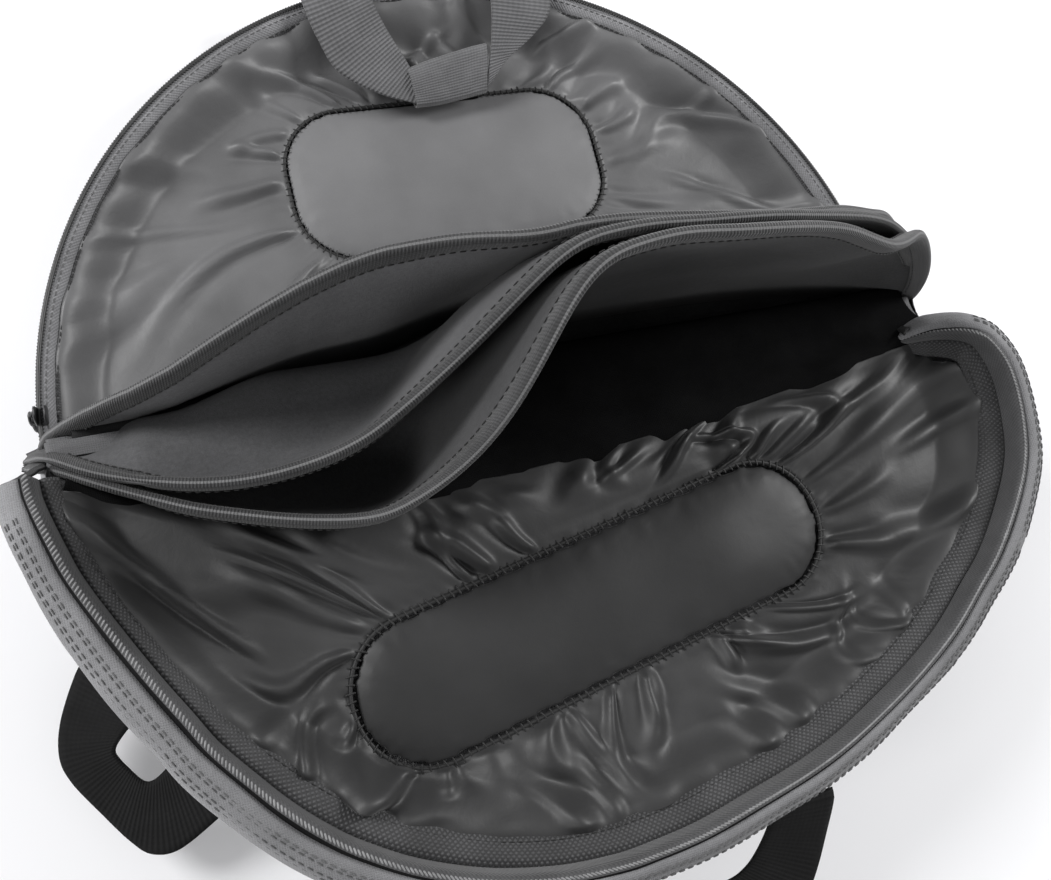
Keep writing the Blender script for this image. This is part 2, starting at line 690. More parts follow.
def sewn_edge(name, outline, z, seed, width=0.0062, pitch=0.0046):
    """Whip stitches over a pad's seam."""
    count = int(line_length(np.vstack([outline, outline[:1]])) / pitch)
    line = even(outline, count, True)
    t = tangents(np.c_[line, np.zeros(count)], True)
    out = np.stack([t[:, 1], -t[:, 0], np.zeros(count)], 1)
    wob = field(np.arange(count) * 0.7, np.zeros(count), seed)
    direction = out + t * (0.25 + 0.25 * wob[:, None]) + np.array([0, 0, -0.18])
    places = np.c_[line, np.full(count, z)] + out * 0.0003
    return capsules(name, places, direction, width * (1 + 0.2 * wob), 0.00055)


def closed_pad(name, points, base_z):
    """The crowned top with a flat underside, as one closed form."""
    under = points[:, ::-1].copy()
    under[:, :, 2] = base_z
    return grid(name, np.concatenate([under, points], 1), loop=True, flip=True)


def swell(obj, base_z, cap=0.0035, voxel=0.0032, pressure=4.0):
    """Fills a closed pad by cloth simulation: held where it is sewn down, moved no further than the cap."""
    scene = bpy.context.scene
    remesh = obj.modifiers.new("Remesh", "REMESH")
    remesh.mode = "VOXEL"
    remesh.voxel_size = voxel
    bake(obj)
    before = vertex_places(obj.data)
    group = obj.vertex_groups.new(name="sewn")
    for k, weight in enumerate(1 - smooth(0.0015, 0.0050, before[:, 2] - base_z)):
        group.add([k], float(weight), "REPLACE")
    cloth = obj.modifiers.new("Cloth", "CLOTH")
    settings = cloth.settings
    settings.use_pressure = True
    settings.uniform_pressure_force = pressure
    settings.effector_weights.gravity = 0.0
    settings.vertex_group_mass = "sewn"
    settings.quality = 6
    cloth.point_cache.frame_start = 1
    cloth.point_cache.frame_end = 20
    for frame_number in range(1, 21):
        scene.frame_set(frame_number)
    depsgraph = bpy.context.evaluated_depsgraph_get()
    after = vertex_places(obj.evaluated_get(depsgraph).to_mesh())
    obj.evaluated_get(depsgraph).to_mesh_clear()
    move = after - before
    length = np.maximum(np.linalg.norm(move, axis=1, keepdims=True), 1e-9)
    move = move / length * cap * np.tanh(length / cap)
    obj.modifiers.clear()
    obj.vertex_groups.clear()
    obj.data.vertices.foreach_set("co", (before + move).reshape(-1))
    scene.frame_set(1)
    smoother = obj.modifiers.new("Smooth", "SMOOTH")
    smoother.factor = 0.5
    smoother.iterations = 3
    finer = obj.modifiers.new("Subdivision", "SUBSURF")
    finer.levels = finer.render_levels = 1
    return bake(obj)


def gathered(obj, pad, base_z, seed, pucker=0.0009):
    """Small puckers where the pad's cloth is sewn down, and its UVs in metres."""
    mesh = obj.data
    co = vertex_places(mesh)
    count = 420
    outline = rounded(pad, 0.0, count)
    gap = np.maximum(inside_pad(pad, co[:, 0], co[:, 1]), 0)
    nearest = np.concatenate([((outline[None] - part[:, None, :2]) ** 2).sum(2).argmin(1)
                              for part in np.array_split(co, 40)])
    s = nearest / count * 1.8 * (pad[0] + pad[1])
    high = smooth(0.002, 0.005, co[:, 2] - base_z)
    fade = np.exp(-gap / 0.010) * (1 - smooth(0.010, 0.026, gap))
    co[:, 2] += pucker * field(s * 110, gap * 20, seed) * fade * high
    co[:, 2] += 0.0010 * field(co[:, 0] * 18, co[:, 1] * 18, seed + 2) * smooth(0.0, 0.03, gap) * high
    mesh.vertices.foreach_set("co", co.reshape(-1).astype(np.float32))
    if not mesh.uv_layers:
        mesh.uv_layers.new(name="UVMap")
    corner = np.empty(len(mesh.loops), np.int32)
    mesh.loops.foreach_get("vertex_index", corner)
    mesh.uv_layers[0].data.foreach_set("uv", co[corner, :2].reshape(-1).astype(np.float32))
    shade_smooth(mesh)


def pads():
    """The two raised pads, each with its cushion, the whip stitches round it and the cord in its seam."""
    rows = (("back_pad", BACK_PAD, 0.0118, 0.0068, 21, 0.55, "base", 0.0146, 0.0137, 5, 0.0011, 300),
            ("flap_pad", FLAP_PAD, 0.1198, 0.0078, 31, 0.60, "flap", 0.1228, 0.1218, 6, 0.0012, 340))
    for name, pad, base_z, crown, seed, fill, body, stitch_z, cord_z, stitch_seed, cord, count in rows:
        points, outline = crowned_pad(pad, base_z + 0.0007, crown, seed)
        cushion = closed_pad(f"{name}_cushion", points, base_z)
        swell(cushion, base_z)
        gathered(cushion, pad, base_z, seed)
        place(cushion, name, "lining", body, [name])
        whip = sewn_edge(f"{name}_stitches", outline, stitch_z, stitch_seed)
        place(whip, "thread_dark", "lining", body)
        line = np.c_[even(outline, count, True), np.full(count, cord_z)]
        place(sweep_tube(f"{name}_seam_cord", line, cord, 8, True), "thread_dark", "lining", body)


def snap(line, surface, lift):
    """The nearest points on a piece's surface, lifted a little, and the surface's normals there."""
    tree = BVHTree.FromPolygons([v.co for v in surface.data.vertices],
                                [p.vertices for p in surface.data.polygons])
    places, outs = [], []
    for p in line:
        spot, normal, _, _ = tree.find_nearest(Vector(p))
        if (Vector(p) - spot).dot(normal) < 0:
            normal = -normal
        places.append(spot + normal * lift)
        outs.append(normal)
    return np.array([tuple(p) for p in places]), np.array([tuple(n) for n in outs])


def running_stitches(name, line, pitch, length, radius, material, slot, body, normals=None, on=None):
    """A row of stitches along a line, laid on a piece's surface where one is given."""
    line = np.asarray(line, float)
    if on is not None:
        line, normals = snap(line, on, radius * 0.6)
    count = int(line_length(line) / pitch)
    p = even(line, count)
    n = None if normals is None else even(normals, count)
    return place(capsules(name, p, tangents(p), length, radius, n), material, slot, body)


def teeth(name, line, across, pitch, radius, material, body):
    """One row of zip teeth: short capsules laid across the line."""
    count = int(line_length(line) / pitch)
    return place(capsules(name, even(line, count), even(across, count), 0.0036, radius), material,
                 "zip_coil", body)


def back_rim():
    """Zip tape, hem, teeth and coil round the back half."""
    n = 360
    start, stop = 0.6, 179.4
    tape = revolve("back_zip_tape_cloth",
                   [(0.2826, 0.0385), (0.2845, 0.0418), (0.2868, 0.0440), (0.2896, 0.0452),
                    (0.2910, 0.0458)], start, stop, n)
    thicken(tape, 0.0009, 1)
    place(tape, "back_tape", "zip_tape", "base", ["back_zip_tape"])
    hem = revolve("back_rim_binding_tape",
                  [(0.2815, 0.0362), (0.2812, 0.0385), (0.2822, 0.0402), (0.2838, 0.0398), (0.2842, 0.0375)],
                  start, stop, n, 0.0006, 4)
    place(hem, "binding", "binding", "base", ["back_rim_binding"])
    radial = arc(1, start, stop, n)
    teeth("back_zip_teeth", radial * 0.2919 + UP * 0.0462, radial, 0.0021, 0.00075, "coil", "base")
    cord = sweep_tube("back_zip_coil_core", radial * 0.2921 + UP * 0.0460, 0.0013, 8)
    place(cord, "coil", "zip_coil", "base", ["back_zip_coil"])
    running_stitches("back_tape_stitches", radial * 0.2868 + UP * 0.0470, 0.0046, 0.0032, 0.0004,
                     "thread_grey", "zip_tape", "base", on=tape)
    running_stitches("back_hem_stitches", radial * 0.2826 + UP * 0.0420, 0.0042, 0.003, 0.0004, "thread_dark",
                     "binding", "base", on=hem)


def walls():
    """Outer cloth of both walls, and the piping of their seams."""
    cover = revolve("back_wall_cloth", [(0.2884, 0.004), (0.2900, 0.010), (0.2914, 0.020), (0.2918, 0.030),
                                        (0.2912, 0.0375), (0.2912, 0.0455)], 0, 180, 240, 0.0009, 2)
    thicken(cover, 0.0015, -1)
    place(cover, "outer", "outer_nylon", "base", ["back_wall_cover", "back_wall_foam"])
    radial = arc(1, 0, 180, 240)
    for k, z in enumerate((0.0345, 0.0385)):
        running_stitches(f"back_wall_stitches_{k + 1}", radial * 0.2935 + UP * z, 0.0048,
                         0.0034, 0.0004, "thread_dark", "outer_nylon", "base", on=cover)
    lower_wall()
    for name, radius, height, size, lo, hi, node in (
            ("back_piping_cord", 0.2896, 0.0032, 0.0029, 0, 360, "back_piping"),
            ("lower_front_piping_cord", 0.3030, 0.0968, 0.0026, 187, 353, "lower_front_piping")):
        line = drawn_in(arc(radius, lo, hi, 480, height))
        obj = sweep_tube(name, line[:-1] if hi == 360 else line, size, 12, hi == 360)
        place(obj, "piping", "piping", "base", [node])


def lower_wall():
    """The plain wall below the fold, which rises from the zip to its full height beside each corner."""
    n, m = 320, 30
    a = np.radians(np.linspace(180, 360, n))
    inset = np.minimum(np.linspace(0, 180, n), np.linspace(180, 0, n))
    top = 0.050 + 0.045 * smooth(0.5, 9.0, inset)
    t = np.linspace(0, 1, m)
    z = 0.004 + (top[:, None] - 0.004) * t[None, :]
    r = 0.288 + 0.015 * z / 0.100 + 0.0022 * np.sin(np.pi * t)[None, :]
    r = r + 0.0012 * field(columns(a * 9, m), z * 30, 8)
    wall = grid("lower_wall_cloth", drawn_in(np.dstack([r * np.cos(a)[:, None], r * np.sin(a)[:, None], z])))
    thicken(wall, 0.0015, -1)
    place(wall, "outer", "outer_nylon", "base", ["lower_wall_cover", "lower_wall_foam"])


def disc_cover(name, radius, z, dome, y_low, y_high, seed, count=200, rows=60):
    """Cloth over a flat foam panel: nearly flat, a little domed, with soft dents."""
    ys = np.linspace(y_low, y_high, rows)
    u = np.linspace(-1, 1, count)
    half = np.sqrt(np.maximum(radius ** 2 - ys ** 2, 1e-6))
    x = u[:, None] * half[None, :]
    y = np.repeat(ys[None, :], count, 0)
    d = np.minimum(radius - np.hypot(x, y), np.minimum(np.abs(y - y_low), np.abs(y_high - y)) + 0.004)
    dents = 0.0012 * field(x * 9, y * 9, seed) * smooth(0.0, 0.05, d)
    lift = dome * (1 - np.exp(-np.maximum(d, 0) / 0.03)) + dents
    return grid(name, drawn_in(np.dstack([x, y, z + lift])))


def panels():
    # underside of the bag
    n, m = 180, 40
    a = np.radians(np.linspace(0, 360, n, endpoint=False))
    r = 0.2880 * np.linspace(0.002, 1, m)
    x, y = r[None, :] * np.cos(a)[:, None], r[None, :] * np.sin(a)[:, None]
    z = 0.0020 + 0.0016 * smooth(0.272, 0.288, r)[None, :]
    z = z + 0.0006 * field(x * 11, y * 11, 3) * (r < 0.28)[None, :]
    back = grid("back_panel_cloth", np.dstack([x, y, z]), loop=True, flip=True)
    thicken(back, 0.0012, -1)
    place(back, "outer_dark", "outer_nylon", "base", ["back_outer_panel", "back_foam"])
    # the part of the front that stays on the bag, below the fold, and the flap's outer face, which lies
    # downwards on it while the bag is open
    for name, z, dome, y_high, seed, side, body, nodes in (
            ("lower_front_cloth", 0.0990, 0.0018, -0.0040, 14, -1, "base",
             ["lower_front_panel", "lower_front_foam", "lower_front_lining"]),
            ("flap_outer_cloth", 0.1090, -0.0018, -0.0085, 15, 1, "flap", ["flap_outer_panel", "flap_foam"])):
        cover = disc_cover(name, 0.3012, z, dome, -0.3005, y_high, seed)
        thicken(cover, 0.0015, side)
        place(cover, "outer_dark", "outer_nylon", body, nodes)


# ---- flap rim --------------------------------------------------------------------------------
# angle in degrees, clockwise from +X, and radius in millimetres
RIM_TABLE = [(166, 292), (162, 291), (156, 288), (150, 288), (145, 290), (141, 294), (136, 297),
             (132, 300.5), (128, 303.5), (124, 305.5), (118, 306.5), (111, 305), (104, 302), (98, 298),
             (94, 294.5), (88, 290), (81, 285), (74, 285), (68, 286), (61, 288), (55, 292), (49, 297),
             (43, 301), (38, 307), (32, 312), (27, 315), (23, 313), (18, 306)]
RIM_SHARE = 0.7  # how much of the bulge in the table the rim takes


def rim_path(count=520):
    """The line of the zip round the open flap in plan, and the way outwards from it."""
    points = [(-0.2905, -0.034), (-0.2895, -0.046)]
    for angle, radius in RIM_TABLE:
        r = ZIP_RADIUS + RIM_SHARE * (radius / 1000 - ZIP_RADIUS)
        points.append((r * math.cos(math.radians(angle)), -r * math.sin(math.radians(angle))))
    points += [(0.2855, -0.0715), (0.2755, -0.0530), (0.2590, -0.0430), (0.2380, -0.0400)]
    line = spline(points, count)
    t = tangents(line)
    return line, np.stack([t[:, 1], -t[:, 0]], 1)


RIM, RIM_OUT = rim_path()
RIM_S = np.linspace(0, 1, len(RIM))
RIM_LENGTH = line_length(RIM)
RIM_LEFT = RIM_S * RIM_LENGTH
RIM_RIGHT = RIM_LENGTH - RIM_LEFT
RIM_ANGLE = np.degrees(np.arctan2(-RIM[:, 1], RIM[:, 0]))
# towards the right-hand corner the rim turns in over the fold and sinks
RIM_DROP = (0.030 * (1 - smooth(0.0, 0.045, RIM_RIGHT)) + 0.004 * (1 - smooth(0.0, 0.03, RIM_LEFT))
            + 0.010 * (1 - smooth(0.0, 0.018, RIM_RIGHT)))
RIM_SHRINK = 1 - 0.45 * (1 - smooth(0.0, 0.07, RIM_RIGHT)) - 0.35 * (1 - smooth(0.0, 0.020, RIM_RIGHT))
ROLL_LEAST = 0.0165
ROLL_WIDTH = (ROLL_LEAST + 0.0055 * smooth(60, 25, RIM_ANGLE) + 0.0040 * smooth(105, 130, RIM_ANGLE)
              - 0.0035 * smooth(150, 173, RIM_ANGLE))
TAPE_WIDTH = 0.0145 - 0.0065 * smooth(128, 150, RIM_ANGLE)


def rim_height(height, keep=slice(None)):
    """A height in the rim's own section, sunk and shrunk as the rim is at each place along it."""
    return FLAP_ZIP_Z - RIM_DROP[keep] - (FLAP_ZIP_Z - height) * RIM_SHRINK[keep]


def rim_sweep(name, section, thickness, waver=0.0, seed=1, steps=4):
    """Carries a section of (distance outside the zip line, height) along the flap's rim.
    The section is one list, or a list for each place along the rim."""
    section = np.asarray(section, float)
    if section.ndim == 2:
        section = np.repeat(even(section, len(section) * steps)[None], len(RIM), 0)
    else:
        section = np.stack([even(q, section.shape[1] * steps) for q in section])
    d = section[:, :, 0] * RIM_SHRINK[:, None]
    z = rim_height(section[:, :, 1].T).T
    if waver:
        s = columns(RIM_LEFT, d.shape[1])
        d = d + waver * field(s * 24, section[:, :, 1] * 60, seed)
        z = z + waver * 0.6 * field(s * 24 + 9, section[:, :, 1] * 60, seed + 1)
    plan = RIM[:, None] + RIM_OUT[:, None] * d[:, :, None]
    return thicken(grid(name, np.dstack([plan, z])), thickness, -1)


def rim_line(distance, height, lo=0.0, hi=1.0):
    """A line along the rim at a distance outside the zip line, and the way outwards from it."""
    keep = (RIM_S >= lo) & (RIM_S <= hi)
    d = np.broadcast_to(distance, RIM_S.shape)[keep] * RIM_SHRINK[keep]
    line = np.c_[RIM[keep] + RIM_OUT[keep] * d[:, None], rim_height(height, keep)]
    return line, np.c_[RIM_OUT[keep], np.zeros(len(d))]


def roll_section(width):
    """The padded wall, from beside the zip over its rounded top and down to the piping."""
    start = 0.0030 + 0.0045 * max(0.0, (width - ROLL_LEAST) / 0.0135)
    foot = 0.0135 + 0.25 * (width - ROLL_LEAST)
    return [(start, 0.1500), (start + 0.0006, 0.1535), (start + 0.16 * width, 0.1548),
            (0.55 * width, 0.1528), (0.80 * width, 0.1480), (0.95 * width, 0.1405), (width, 0.1320),
            (0.96 * width, 0.1230), (foot, 0.1130)]


def roll_line(sections, share, lift):
    """A line along the padded wall at a share of its section's length, just off its surface."""
    keep = (RIM_S > 0.02) & (RIM_S < 0.96)
    places, outs = [], []
    for k in np.flatnonzero(keep):
        fine = even(sections[k], 61)
        i = int(share * 60)
        along = fine[i + 1] - fine[i - 1]
        normal = np.array([-along[1], along[0]]) / np.hypot(*along)
        normal = normal * (1 if normal[1] > 0 else -1)
        d, z = fine[i] + normal * lift
        places.append((*(RIM[k] + RIM_OUT[k] * (d * RIM_SHRINK[k])), rim_height(z, k)))
        outs.append((*(RIM_OUT[k] * normal[0]), normal[1]))
    return np.array(places), np.array(outs)


def flap_rim():
    """The padded roll round the flap, its zip and the woven edge tape inside it."""
    sections = [roll_section(w) for w in ROLL_WIDTH]
    roll = rim_sweep("flap_wall_roll", sections, 0.0016, waver=0.0011, seed=41)
    place(roll, "outer", "outer_nylon", "flap", ["flap_wall_cover", "flap_wall_foam"])
    for k, share in enumerate((0.17, 0.212, 0.315, 0.357)):
        line, _ = roll_line(sections, share, 0.002)
        running_stitches(f"flap_wall_stitches_{k + 1}", line, 0.0052, 0.0034, 0.0005, "thread_grey",
                         "outer_nylon", "flap", on=roll)
    # zip tape: from the groove behind the edge tape up to the teeth, and its dark outer margin
    section = [(-0.0042, 0.1425), (-0.0034, 0.1480), (-0.0026, 0.1530), (-0.0016, 0.1560), (0.0, 0.1568),
               (0.0018, 0.1566)]
    place(rim_sweep("flap_zip_tape_cloth", section, 0.0009), "flap_tape", "zip_tape", "flap",
          ["flap_zip_tape"])
    margin = [[(0.0014, 0.1562), (0.0026, 0.1552), (0.0034, 0.1535),
               (0.0042 + 0.3 * (w - ROLL_LEAST), 0.1522),
               (0.0060 + 0.35 * (w - ROLL_LEAST), 0.1520)] for w in ROLL_WIDTH]
    place(rim_sweep("flap_zip_margin", margin, 0.0008), "groove", "zip_tape", "flap")
    line, out = rim_line(0.0, 0.1574)
    slant = out * 0.8 + tangents(line) * 0.5
    teeth("flap_zip_teeth_light", line, slant, 0.0023, 0.00062, "coil_light", "flap")
    core = sweep_tube("flap_zip_coil_core", line - UP * 0.0015, 0.0014, 8)
    place(core, "coil", "zip_coil", "flap", ["flap_zip_coil"])
    # woven edge tape that finishes the lining, and the groove between it and the zip tape
    section = [[(-0.0050 - w, 0.1380), (-0.0050 - 0.9 * w, 0.1402), (-0.0050 - 0.62 * w, 0.1428),
                (-0.0050 - 0.28 * w, 0.1444), (-0.0060, 0.1440), (-0.0050, 0.1420)] for w in TAPE_WIDTH]
    band = rim_sweep("flap_edge_tape", section, 0.0010, waver=0.0007, seed=44)
    place(band, "mesh", "mesh_binding", "flap", ["flap_rim_binding"])
    line, _ = rim_line(-0.0050 - 0.84 * TAPE_WIDTH, 0.1420, 0.02, 0.96)
    running_stitches("flap_edge_tape_stitches", line, 0.0045, 0.003, 0.0004, "thread_dark", "mesh_binding",
                     "flap", on=band)
    section = [(-0.0058, 0.1435), (-0.0050, 0.1400), (-0.0040, 0.1395), (-0.0032, 0.1440)]
    place(rim_sweep("flap_rim_groove", section, 0.0008), "groove", "binding", "flap")
    line, _ = rim_line(0.0127 + 0.25 * (ROLL_WIDTH - ROLL_LEAST), 0.1120)
    place(sweep_tube("flap_piping_cord", line, 0.0026, 12), "piping", "piping", "flap", ["flap_piping"])


# ---- lining of the flap and of the fold ------------------------------------------------------
# the line where the flap's lining meets the cloth of the fold, from left to right
CREST = [(-0.292, -0.030), (-0.250, -0.050), (-0.180, -0.066), (-0.110, -0.074), (-0.042, -0.076),
         (0.024, -0.072), (0.099, -0.065), (0.152, -0.058), (0.200, -0.050), (0.249, -0.043),
         (0.285, -0.040)]


def crest_y(x):
    return np.interp(x, *np.array(CREST).T)


def flap_loop():
    """Outer edge of the flap's lining, in plan and height: along the edge tape, then the fold's crest."""
    keep = (RIM_S > 0.012) & (RIM_S < 0.972)
    edge = RIM[keep] - RIM_OUT[keep] * (0.0032 + TAPE_WIDTH[keep])[:, None]
    height = 0.1392 - RIM_DROP[keep]
    x = np.linspace(edge[-1, 0], edge[0, 0], 160)[1:-1]
    crest = np.stack([x, crest_y(x)], 1)
    crest[:, 1] = np.minimum(crest[:, 1], -0.02)
    return np.vstack([edge, crest]), np.concatenate([height, np.full(len(x), 0.1205)])


def flap_inside():
    loop, height = flap_loop()
    points = lining(FLAP_PAD, loop, len(loop) - 158, (0.1212, 0.1222, 0.004), height, 0.030, 23, 56,
                    (0.0012, 0.0020, 0.0070), rows=72, count=720)
    cloth = grid("flap_lining_cloth", points, loop=True)
    thicken(cloth, 0.0008, -1)
    place(cloth, "flap_lining", "lining", "flap", ["flap_lining"])


def fold_lining():
    """Cloth over the fold, from the flap's lining down into the pocket."""
    n, m = 260, 44
    x = np.linspace(-0.287, 0.296, n)
    rows = []
    for k, (c, wob) in enumerate(zip(crest_y(x), 0.0016 * field(x * 30, x * 0, 5))):
        section = [(c - 0.006, 0.1212 + wob), (c + 0.004, 0.1212 + wob), (c * 0.80, 0.1185),
                   (c * 0.62, 0.1145), (c * 0.40, 0.1122), (-0.012, 0.1112), (-0.0030, 0.1086),
                   (0.0008, 0.1040), (-0.0025, 0.0985), (-0.0105, 0.0925), (-0.030, 0.0880)]
        # at the left the fold bulges forwards, under the dividers that lie on it
        section = [(q - 0.014 * smooth(-0.150, -0.205, x[k]) * smooth(0.1145, 0.1115, height), height)
                   for q, height in section]
        rows.append(spline(section, m))
    rows = np.array(rows)
    points = np.dstack([columns(x, m), rows])
    folds = field(columns(x * 34, m), rows[:, :, 1] * 25, 6)
    points[:, :, 2] += 0.0012 * folds * smooth(0.112, 0.117, rows[:, :, 1])
    cloth = grid("fold_lining_cloth", drawn_in(points))
    thicken(cloth, 0.0008, 1)
    dress(cloth, "fold_lining")
    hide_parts("fold_tape")
    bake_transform(cloth)


def fold_cover():
    """Outer cloth of the fold, between the two halves of the front."""
    n, m = 160, 24
    section = spline([(-0.0105, 0.1006), (-0.0050, 0.1008), (-0.0022, 0.1022), (-0.0014, 0.1040),
                      (-0.0022, 0.1058), (-0.0050, 0.1072), (-0.0105, 0.1074)], m)
    x = np.linspace(-0.286, 0.286, n)
    points = np.dstack([columns(x, m), np.repeat(section[None], n, 0)])
    cover = grid("fold_cover_tape", drawn_in(points))
    thicken(cover, 0.0010, 1)
    dress(cover, "gusset")
    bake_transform(cover)


def corner_gussets():
    """Soft cloth that joins the flap's wall to the bag's wall at each end of the fold."""
    ends = {
        "left": ([(-0.2915, -0.0350, 0.1500), (-0.2990, -0.0345, 0.1480), (-0.3040, -0.0345, 0.1380),
                  (-0.3035, -0.0330, 0.1200), (-0.2960, -0.0250, 0.1100)],
                 [(-0.2880, 0.0020, 0.0460), (-0.2895, -0.0010, 0.0520), (-0.2905, -0.0050, 0.0620),
                  (-0.2890, -0.0100, 0.0760), (-0.2850, -0.0140, 0.0960)], 1),
        "right": ([(0.2390, -0.0385, 0.1300), (0.2450, -0.0350, 0.1270), (0.2560, -0.0330, 0.1220),
                   (0.2640, -0.0320, 0.1160), (0.2700, -0.0280, 0.1100)],
                  [(0.2900, 0.0060, 0.0460), (0.2885, 0.0015, 0.0560), (0.2850, -0.0020, 0.0680),
                   (0.2800, -0.0030, 0.0840), (0.2745, -0.0050, 0.1035)], -1),
    }
    for side, (top, low, inward) in ends.items():
        t = np.linspace(0, 1, 34)
        points = between(spline(top, 30), spline(low, 30), t)
        belly = np.sin(np.pi * t)[None, :] * np.linspace(1, 0.3, 30)[:, None]
        crumple = 0.0022 * field(points[:, :, 1] * 90, points[:, :, 2] * 90, 61) * belly
        points[:, :, 0] += inward * (0.006 * belly + crumple)
        cloth = grid(f"corner_gusset_{side}", points)
        thicken(cloth, 0.0012, 0)
        dress(cloth, "gusset")
        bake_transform(cloth)


def pocket():
    """Lining of the pocket below the fold: floor, wall and roof in one sheet."""
    section = spline([(0.002, 0.0128), (0.12, 0.0128), (0.255, 0.0130), (0.2765, 0.0165), (0.2825, 0.050),
                      (0.2830, 0.080), (0.2740, 0.0868), (0.12, 0.0874), (0.002, 0.0874)], 60)
    a = np.radians(np.linspace(180.6, 359.4, 160))
    r = np.repeat(section[None, :, 0], 160, 0)
    z = np.repeat(section[None, :, 1], 160, 0)
    z = z + 0.0010 * field(r * 40, columns(a * 4, 60), 9) * (np.abs(z - 0.05) > 0.03)
    points = np.dstack([r * np.cos(a)[:, None], r * np.sin(a)[:, None], z])
    cloth = grid("pocket_lining_cloth", points)
    thicken(cloth, 0.0007, 1)
    place(cloth, "pocket", "lining", "base")


# ---- dividers --------------------------------------------------------------------------------
DIVIDER_R = 0.2820
LEAST_HEIGHT = 0.0025  # of the felt, at its two ends
# In its left half the rear divider's foot bows forwards and its upper part stands up again: how far it bows,
# the angle of its upper part, and the angle of its lower part at each share of the width.
SLUMP = (0.018, 86.0,
         [(-1, 90), (-0.97, 94), (-0.95, 100), (-0.92, 103), (-0.88, 105), (-0.82, 106), (-0.75, 105),
          (-0.67, 102), (-0.6, 99.5), (-0.52, 97), (-0.45, 95.5), (-0.38, 94.5), (-0.2, 94), (0, 94)])
# The left half of the other two lies forwards over the fold and its edge turns up: how far its foot bows
# forwards, points of its section over the fold, the height it lies at, and the place (y, z) of its edge at
# each share of the width.
LYING = {
    "middle": (0.0180, [(0.0100, 0.0960), (0.0080, 0.1115), (-0.0010, 0.1195)], 0.1330,
               [(-1, -0.008, 0.0700), (-0.97, -0.012, 0.100), (-0.95, -0.017, 0.115), (-0.92, -0.027, 0.128),
                (-0.88, -0.037, 0.138), (-0.82, -0.047, 0.148), (-0.75, -0.054, 0.155),
                (-0.67, -0.058, 0.162), (-0.6, -0.059, 0.170), (-0.52, -0.059, 0.186),
                (-0.45, -0.0565, 0.205), (-0.38, -0.0465, 0.228), (-0.3, -0.030, 0.250),
                (-0.2, -0.011, 0.268), (0, 0.01, 0.27)]),
    "front": (0.0150, [(0.0045, 0.0980), (0.0025, 0.1095), (-0.0065, 0.1150)], 0.1265,
              [(-1, -0.012, 0.0730), (-0.97, -0.0195, 0.098), (-0.95, -0.025, 0.111), (-0.92, -0.033, 0.124),
               (-0.88, -0.042, 0.134), (-0.82, -0.053, 0.142), (-0.75, -0.0645, 0.147),
               (-0.67, -0.0735, 0.152), (-0.6, -0.081, 0.158), (-0.52, -0.089, 0.172),
               (-0.45, -0.0955, 0.195), (-0.38, -0.090, 0.225), (-0.3, -0.0745, 0.256),
               (-0.2, -0.042, 0.285), (0, 0, 0.29)]),
}
BEND = {"rear": 1.8, "middle": 1.7, "front": 0.9}  # how much of each lean comes in the upper part
# Hinge y and z, lean of the flat divider, left and right tips, how much the curves draw in the right half,
# and the lean of the standing part at each share of the width.
DIVIDERS = {
    "rear": (0.048, 0.024, 94.0, (-0.2985, -0.004, 0.064), (0.2925, -0.005, 0.066), 1.02,
             [(-1, 112), (-0.95, 108), (-0.9, 107), (-0.85, 107), (-0.75, 105), (-0.6, 101), (-0.45, 97.5),
              (-0.3, 96), (-0.15, 97), (0, 97), (0.15, 97.5), (0.3, 98), (0.45, 98), (0.6, 96), (0.7, 94),
              (0.78, 91), (0.85, 90), (0.9, 92), (0.95, 96), (1, 98)]),
    "middle": (0.038, 0.039, 101.0, (-0.3000, -0.008, 0.067), (0.2860, -0.007, 0.076), 0.985,
               [(-1, 95), (-0.97, 106), (-0.95, 113), (-0.9, 121), (-0.85, 125), (-0.75, 125.5), (-0.6, 123),
                (-0.45, 118), (-0.3, 107), (-0.15, 100), (0, 98), (0.15, 98), (0.3, 98), (0.45, 98),
                (0.6, 98), (0.7, 97.5), (0.78, 97), (0.85, 96), (0.9, 95), (0.95, 94), (1, 92)]),
    "front": (0.028, 0.054, 108.0, (-0.3005, -0.012, 0.070), (0.2800, -0.009, 0.086), 0.92,
              [(-1, 95), (-0.97, 104), (-0.95, 110), (-0.9, 118), (-0.85, 123), (-0.75, 126), (-0.6, 127),
               (-0.45, 125), (-0.3, 115), (-0.15, 102), (0, 99), (0.15, 99), (0.3, 99), (0.45, 99.5),
               (0.6, 101), (0.7, 99), (0.78, 95.5), (0.85, 93), (0.9, 92.5), (0.95, 93), (1, 93)]),
}


